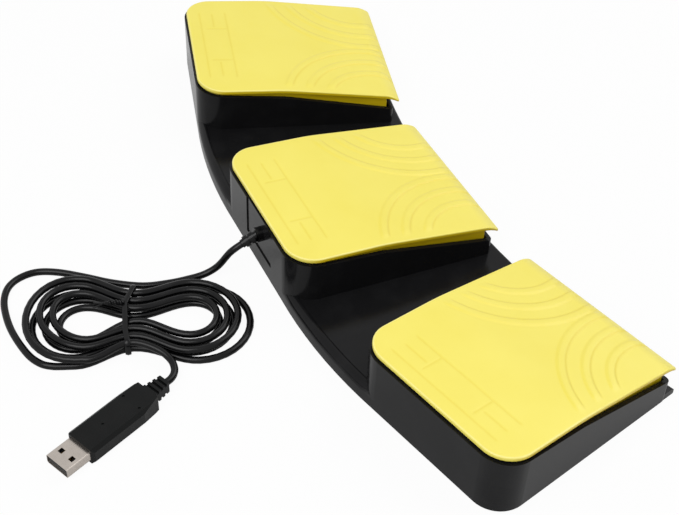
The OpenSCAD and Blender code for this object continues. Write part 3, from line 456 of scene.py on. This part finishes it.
def tie_end(side):
    """One of two strands that wind round each other from the knot and part at their ends."""
    t = np.linspace(0, 1, 90)
    wound = STRAND_R * (1 - step(t, 0.5, 0.62))
    turn = 2 * np.pi * TWISTS * np.minimum(t, PARTING) / PARTING + (np.pi if side < 0 else 0)
    spread, sag = step(t, 0.5, 1) * (2.4 if side > 0 else -0.6), 0.55 * step(t, 0.55, 1)
    along = KNOT_AT[0] + END_RUN * t
    across = KNOT_AT[1] + wound * np.cos(turn) + spread
    height = KNOT_AT[2] + wound * np.sin(turn) - sag + 0.3 * np.sin(np.pi * t) * side
    return tube(from_hank(np.stack([along, across, height], 1)), STRAND_R - 0.12 * step(t, 0.5, 0.7), 10)


tie = piece("tie_band", *tie_band(), "base", "rubber", jacket, ("twist_tie",))
tie_ends = [piece("tie_end_" + name, *tie_end(side), "base", "rubber", jacket)
            for name, side in (("near", 1), ("far", -1))]

# Pads: yellow rocker plates with a bent top, soft grip ridges, a front lip and a skirt

FAN_C, FAN_R, FAN_ANGLE = -436.193, 498.5, 14.9
PLACES = {"left": -1, "middle": 0, "right": 1}
PAD_HALF, PAD_L, PAD_CORNER, PAD_NOSE, PAD_T = 41.0, 99.6, 13.0, 1.2, 2.0
LIP_L, LIP_T, LIP_DROP, EDGE_R = 6.1, 1.2, 2.4, 0.5
TOP_Z, BEND_FROM, BEND_TO, REAR_FALL, FRONT_FALL = 32, 36, 48, 3 / 42, 9.2 / 56.5
SKIRT_REAR, SKIRT_FALL, SKIRT_LOWEST = 23.5, 13.5 / 40, 10
RIDGE_AT, RIDGE_R, RIDGE_STEP, RIDGE_H = (48.4, -89), 26.2, 9.9, 0.42
RIDGE_FLAT, RIDGE_INNER, RIDGE_OUTER = 1.2, 1.9, 2.5
LINE_W, LINE_DEEP, PANEL_REAR, PANEL_MIDDLE, PANEL_FRONT = 0.42, 0.12, -6.4, -13, -19.8
PANEL_HALF, SHORT_FROM, SHORT_TO, PANEL_CROSS, CROSS_TO = 28, 15, 27, 14, -9.5
# strengths of the painted highlight along the rim and of the painted shade at the ridges' feet and in the lines
RIM_HIGHLIGHT, FOOT_SHADE, LINE_SHADE = 0.5, 0.55, 0.42
HUB_Y, HUB_DEEP, PAD_CRISP = -46.0, 0.2, 50
REAR_ARC = np.radians(np.linspace(0, 90, 25))
NOSE_ARC = np.radians(np.linspace(0, 90, 7))
SIDE_RUN = np.linspace(0, 1, 180)[1:-1]
EDGE_IN = 1.2 * (1 - np.cos(np.radians(np.linspace(0, 90, 8))))
PAD_RUN = np.linspace(-1, 1, 150)[1:-1]


def from_pedal(points, k):
    """Points of a pedal's own frame, whose rear edge lies on y = 0, turned and moved to its place in the fan."""
    a = np.radians(-FAN_ANGLE * k)
    x, y = points[:, 0], points[:, 1] + FAN_R
    return np.stack([x * np.cos(a) - y * np.sin(a),
                     FAN_C + x * np.sin(a) + y * np.cos(a), points[:, 2]], 1)


def pad_grid(side_in, front_in):
    """Grid over the pad's plan, drawn in at its sides and rear and at its front: rows run from the rear
    corners' arcs along the sides to the front corners' arcs, columns lie close together at the edges."""
    half, rear, front = PAD_HALF - side_in, -side_in, front_in - PAD_L
    rear_r, nose_r = PAD_CORNER - side_in, max(PAD_NOSE - front_in, 0.3)
    run = rear - rear_r + SIDE_RUN * (front + nose_r - rear + rear_r)
    y = np.concatenate([rear - rear_r * (1 - np.cos(REAR_ARC)), run,
                        front + nose_r - nose_r * np.sin(NOSE_ARC)])
    wide = np.concatenate([half - rear_r + rear_r * np.sin(REAR_ARC), np.full(len(run), half),
                           half - nose_r + nose_r * np.cos(NOSE_ARC)])[:, None]
    x = np.concatenate([EDGE_IN - wide, PAD_RUN * (wide - EDGE_IN[-1]), wide - EDGE_IN[::-1]], 1)
    return x, np.broadcast_to(y[:, None], x.shape)


def rim(grid):
    """The border of a grid, once round."""
    return np.concatenate([grid[0], grid[1:, -1], grid[-1, -2::-1], grid[-2:0:-1, 0]])


def pad_top(y):
    """Height of the plate's top: it falls gently from the rear, steeper in front of a soft bend, and turns
    down along the front lip."""
    d = -y
    arc = (d - BEND_FROM) ** 2 / (2 * (BEND_TO - BEND_FROM))
    bend = np.where(d < BEND_FROM, 0, np.where(d > BEND_TO, d - (BEND_FROM + BEND_TO) / 2, arc))
    lip = np.clip((d - PAD_L + LIP_L + 1) / (LIP_L + 1), 0, 1)
    return TOP_Z - REAR_FALL * d - (FRONT_FALL - REAR_FALL) * bend - LIP_DROP * lip**1.8


def plate(y):
    """Thickness of the plate, which thins along the front lip."""
    return PAD_T + (LIP_T - PAD_T) * np.clip((-y - PAD_L + LIP_L) / LIP_L, 0, 1)


def plate_under(y):
    """Height of the plate's underside."""
    return pad_top(y) - plate(y)


def skirt_low(y):
    """Height of the skirt's lower edge, which falls from the rear."""
    return np.maximum(SKIRT_LOWEST, SKIRT_REAR + SKIRT_FALL * y)


def rim_distance(x, y):
    """How far a point lies inside the pad's outline, a rectangle with large rear and small front corners."""
    r = np.where(y > -PAD_L / 2, PAD_CORNER, PAD_NOSE)
    qx, qy = np.abs(x) - PAD_HALF + r, np.abs(y + PAD_L / 2) - PAD_L / 2 + r
    return r - np.hypot(np.maximum(qx, 0), np.maximum(qy, 0)) - np.minimum(np.maximum(qx, qy), 0)


def ridges(x, y):
    """Distance outwards from the middle of the nearest of three arcs about a point beyond each front corner,
    and the share of the arc's height that is left near the pad's sides."""
    ring = np.hypot(np.abs(x) - RIDGE_AT[0], y - RIDGE_AT[1]) - RIDGE_R
    nearest = RIDGE_STEP * np.clip(np.round(ring / RIDGE_STEP), 0, 2)
    return ring - nearest, step(PAD_HALF - np.abs(x), 2.5, 7)


def panel_lines(x, y):
    """Fine engraved lines of the panel at the rear: two along it, a shorter one at each end and two across."""
    wide = np.abs(x)
    rear, middle, front = (groove(y - at, LINE_W) for at in (PANEL_REAR, PANEL_MIDDLE, PANEL_FRONT))
    long = np.maximum(rear, front) * (1 - step(wide, PANEL_HALF, PANEL_HALF + 2))
    short = middle * step(wide, SHORT_FROM, SHORT_FROM + 1.5) * (1 - step(wide, SHORT_TO, SHORT_TO + 2))
    cross = step(y, PANEL_FRONT, PANEL_FRONT + 0.8) * (1 - step(y, CROSS_TO, CROSS_TO + 1))
    return np.maximum(np.maximum(long, short), groove(wide - PANEL_CROSS, LINE_W) * cross)


def pad_height(x, y):
    """Height of the pad's surface: the bent top, raised ridges, the panel's lines and the round of the edge."""
    off, left = ridges(x, y)
    outer, inner = 1 - step(off, RIDGE_FLAT, RIDGE_OUTER), 1 - step(-off, RIDGE_FLAT, RIDGE_INNER)
    ridge = RIDGE_H * outer * inner * left * step(y + PAD_L, 0.5, 2.5)
    bent = np.clip(1 - rim_distance(x, y) / EDGE_R, 0, 1)
    return pad_top(y) + ridge - LINE_DEEP * panel_lines(x, y) - EDGE_R * (1 - np.sqrt(1 - bent**2))


def pad_painted_light(x, y):
    """Painted light on the pad's surface: painted shade, below 0, in the panel's lines and at the feet of the
    ridges, where the inner foot is the finer and darker one, and a painted highlight, above 0, along the rim,
    fading to the front."""
    off, left = ridges(x, y)
    # painted shade at the ridges' feet, darkest on the inner foot
    feet = (groove(off + 1.7, 0.45) + 0.3 * groove(off - 1.9, 0.8)) * left
    # painted highlight along the rim, fading to the front
    rim_highlight = groove(rim_distance(x, y) - 0.35, 0.3) * step(y, -75, -30)
    return RIM_HIGHLIGHT * rim_highlight - np.maximum(FOOT_SHADE * feet, LINE_SHADE * panel_lines(x, y))


# How far each ring of the pad lies in from the sides and the front, the height that it follows and its rise
PAD_RINGS = [
    (0, 0, pad_top, -EDGE_R - 0.1), (0, 0, plate_under, 0.3), (0.09, 0.09, plate_under, 0.09),
    (0.3, 0.3, plate_under, 0), (0.6, 1.6, plate_under, 0), (0.9, 2.9, plate_under, 0),
    (1.2, 4.2, plate_under, 0), (1.5, LIP_L - 0.5, plate_under, 0),
    (1.85, LIP_L - 0.15, plate_under, -0.15), (2, LIP_L, plate_under, -0.5),
    (2, LIP_L, skirt_low, 0.25), (2.07, LIP_L + 0.07, skirt_low, 0.07),
    (2.25, LIP_L + 0.25, skirt_low, 0), (3.8, LIP_L + 1.8, skirt_low, 0),
    (3.8, LIP_L + 1.8, plate_under, 0),
]


def pad(k):
    """The top as a grid, then rings down its edge, under the lip, down the skirt and up inside it, closed by
    a fan."""
    x, y = pad_grid(0, 0)
    rows, columns = x.shape
    top = np.stack([x, y, pad_height(x, y)], -1).reshape(-1, 3)
    order = rim(np.arange(rows * columns).reshape(rows, columns))
    rings, faces = [order], [grid_faces(rows, columns)]
    points = [top]
    count = len(top)
    for side_in, front_in, height, rise in PAD_RINGS:
        ring_x, ring_y = (rim(g) for g in pad_grid(side_in, front_in))
        points.append(np.stack([ring_x, ring_y, height(ring_y) + rise], 1))
        rings.append(np.arange(count, count + len(order)))
        count += len(order)
    points.append(np.array([[0, HUB_Y, pad_top(np.array(HUB_Y)) - PAD_T - HUB_DEEP]]))
    for upper, lower in zip(rings, rings[1:]):
        faces.append(np.stack([upper, np.roll(upper, -1), np.roll(lower, -1), lower], 1))
    last = rings[-1]
    faces.append(np.stack([last, np.roll(last, -1), np.full(len(last), count)], 1))
    below_y = np.concatenate([p[:, 1] for p in points[1:]])
    # marks of painted shade and highlight on the top, and of painted shade on the edge, underside and skirt,
    # fading out at the rear
    marks = {"painted_light": np.append(pad_painted_light(x, y).ravel(), np.zeros(len(below_y))),
             "skirt": np.append(np.zeros(len(top)), step(-below_y, 3, 14))}
    return from_pedal(np.vstack(points), k), faces, marks


for name, k in PLACES.items():
    surface, corners, painted_light_marks = pad(k)
    piece(name + "_pad", surface, corners, name + "_pedal_body", "yellow_plastic", yellow,
          (name + "_pedal",), PAD_CRISP, painted_light_marks)

# Return springs under the pads

SPRING_Y, SPRING_SEAT, SPRING_LOW, SPRING_RISE = -70, 2.8, 3.3, 14.0
COIL_R, WIRE_R, TURNS, END_PITCH = 4.2, 0.45, 6, 1.0


def spring(k):
    """Round wire on a helix whose first and last turns lie close, as the ends of a compression spring do."""
    turn = np.linspace(0, TURNS, TURNS * 36 + 1)
    rise = [0, END_PITCH, SPRING_RISE - END_PITCH, SPRING_RISE]
    height = SPRING_LOW + np.interp(turn, [0, 1, TURNS - 1, TURNS], rise)
    a = 2 * np.pi * turn
    helix = np.stack([COIL_R * np.cos(a), SPRING_Y + COIL_R * np.sin(a), height], 1)
    return tube(from_pedal(helix, k), WIRE_R, 10)


for name, k in PLACES.items():
    coil = piece(name + "_coil", *spring(k), "base", "steel", steel, (name + "_spring",))
    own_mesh(coil)

# Solids of the frame that keep their shape: finishes, and broken edges where they show

BROKEN_EDGE, SEAM, EDGE_ANGLE = 0.25, 0.002, 38


def dress(material, *names, edge=0.0):
    """Gives nodes a finish; where edge is set, their sharp edges are rounded by that many millimetres."""
    for n in names:
        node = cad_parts[n]
        for held in node.material_slots:
            held.material = material
        if edge:
            weld = node.modifiers.new("join", "WELD")
            weld.merge_threshold = SEAM * MM
            soft = node.modifiers.new("edge", "BEVEL")
            soft.width = edge * MM
            soft.segments = 2
            soft.limit_method = "ANGLE"
            soft.angle_limit = np.radians(EDGE_ANGLE)
            even = node.modifiers.new("even", "WEIGHTED_NORMAL")
            even.keep_sharp = True


dress(black, "housing", edge=BROKEN_EDGE)
dress(black, "bottom_cover")
dress(rubber, "rubber_feet")
dress(steel, "cover_screws", *(n + "_hinge_pin" for n in PLACES))
dress(board_green, *(n + "_board" for n in PLACES))
dress(switch_body, *(n + "_switch" for n in PLACES))
dress(plunger_red, *(n + "_plunger" for n in PLACES))
dress(wire_white, "wire_harness")
dress(jacket, "inner_cable", "cable_gland")
dress(moulding, "plug_grip", "plug_relief", edge=BROKEN_EDGE)
dress(nickel, "plug_shell")
dress(tongue_black, "plug_tongue")
dress(contact_gold, "plug_contacts")

# Floor, background and lamps

FLOOR_HALF, FLOOR_GREY, FLOOR_WHITE, FLOOR_MIRRORED = 3000.0, 0.8, 0.95, 0.2
WORLD_LEVEL = 0.32


def pale_floor():
    """Plain white: seen straight it is nearly the background's white, with a soft shadow, and in a mirror a
    fifth of it."""
    t = finish("pale_floor")
    matt = t.node("ShaderNodeBsdfDiffuse", {}, {"Color": (FLOOR_GREY, FLOOR_GREY, FLOOR_GREY, 1)})
    lit = t.node("ShaderNodeEmission", {}, {"Color": (1, 1, 1, 1), "Strength": 1.0})
    share = t.seen(FLOOR_MIRRORED) * FLOOR_WHITE
    both = t.node("ShaderNodeMixShader", {}, {0: share, 1: matt, 2: lit})
    t.node("ShaderNodeOutputMaterial", {}, {"Surface": both})
    return t.owner


def white_world(level):
    """White where it is seen straight or in a mirror, and a softer light on everything else."""
    scene.world = bpy.data.worlds.new("studio")
    t = Tree(scene.world)
    strength = t.seen(1.0) * (1 - level) + level
    sky = t.node("ShaderNodeBackground", {}, {"Color": (1, 1, 1, 1), "Strength": strength})
    t.node("ShaderNodeOutputWorld", {}, {"Surface": sky})


def lamp(name, at, towards, size, power):
    """Square soft lamp at a place, turned towards another, both in millimetres; its size in metres."""
    light = bpy.data.lights.new(name, "AREA")
    light.size, light.energy = size, power
    made = bpy.data.objects.new(name, light)
    back = unit(np.array(at, float) - np.array(towards, float))
    right = unit(np.cross((0, 0, 1), back))
    placed = np.eye(4)
    placed[:3, :3] = np.stack([right, np.cross(back, right), back], 1)
    placed[:3, 3] = np.array(at) * MM
    made.matrix_world = Matrix(placed.tolist())
    scene.collection.objects.link(made)


white_world(WORLD_LEVEL)
floor_points = FLOOR_HALF * np.array([[-1, -1, 0], [1, -1, 0], [1, 1, 0], [-1, 1, 0]])
floor_mesh = bpy.data.meshes.new("floor")
floor_mesh.from_pydata((floor_points * MM).tolist(), [], [[0, 1, 2, 3]])
floor_mesh.materials.append(pale_floor())
floor = bpy.data.objects.new("floor", floor_mesh)
scene.collection.objects.link(floor)
lamp("key", at=(-450, 700, 1050), towards=(0, 40, 10), size=0.9, power=11)
lamp("fill", at=(100, -900, 1000), towards=(0, 0, 10), size=1.0, power=7.1)
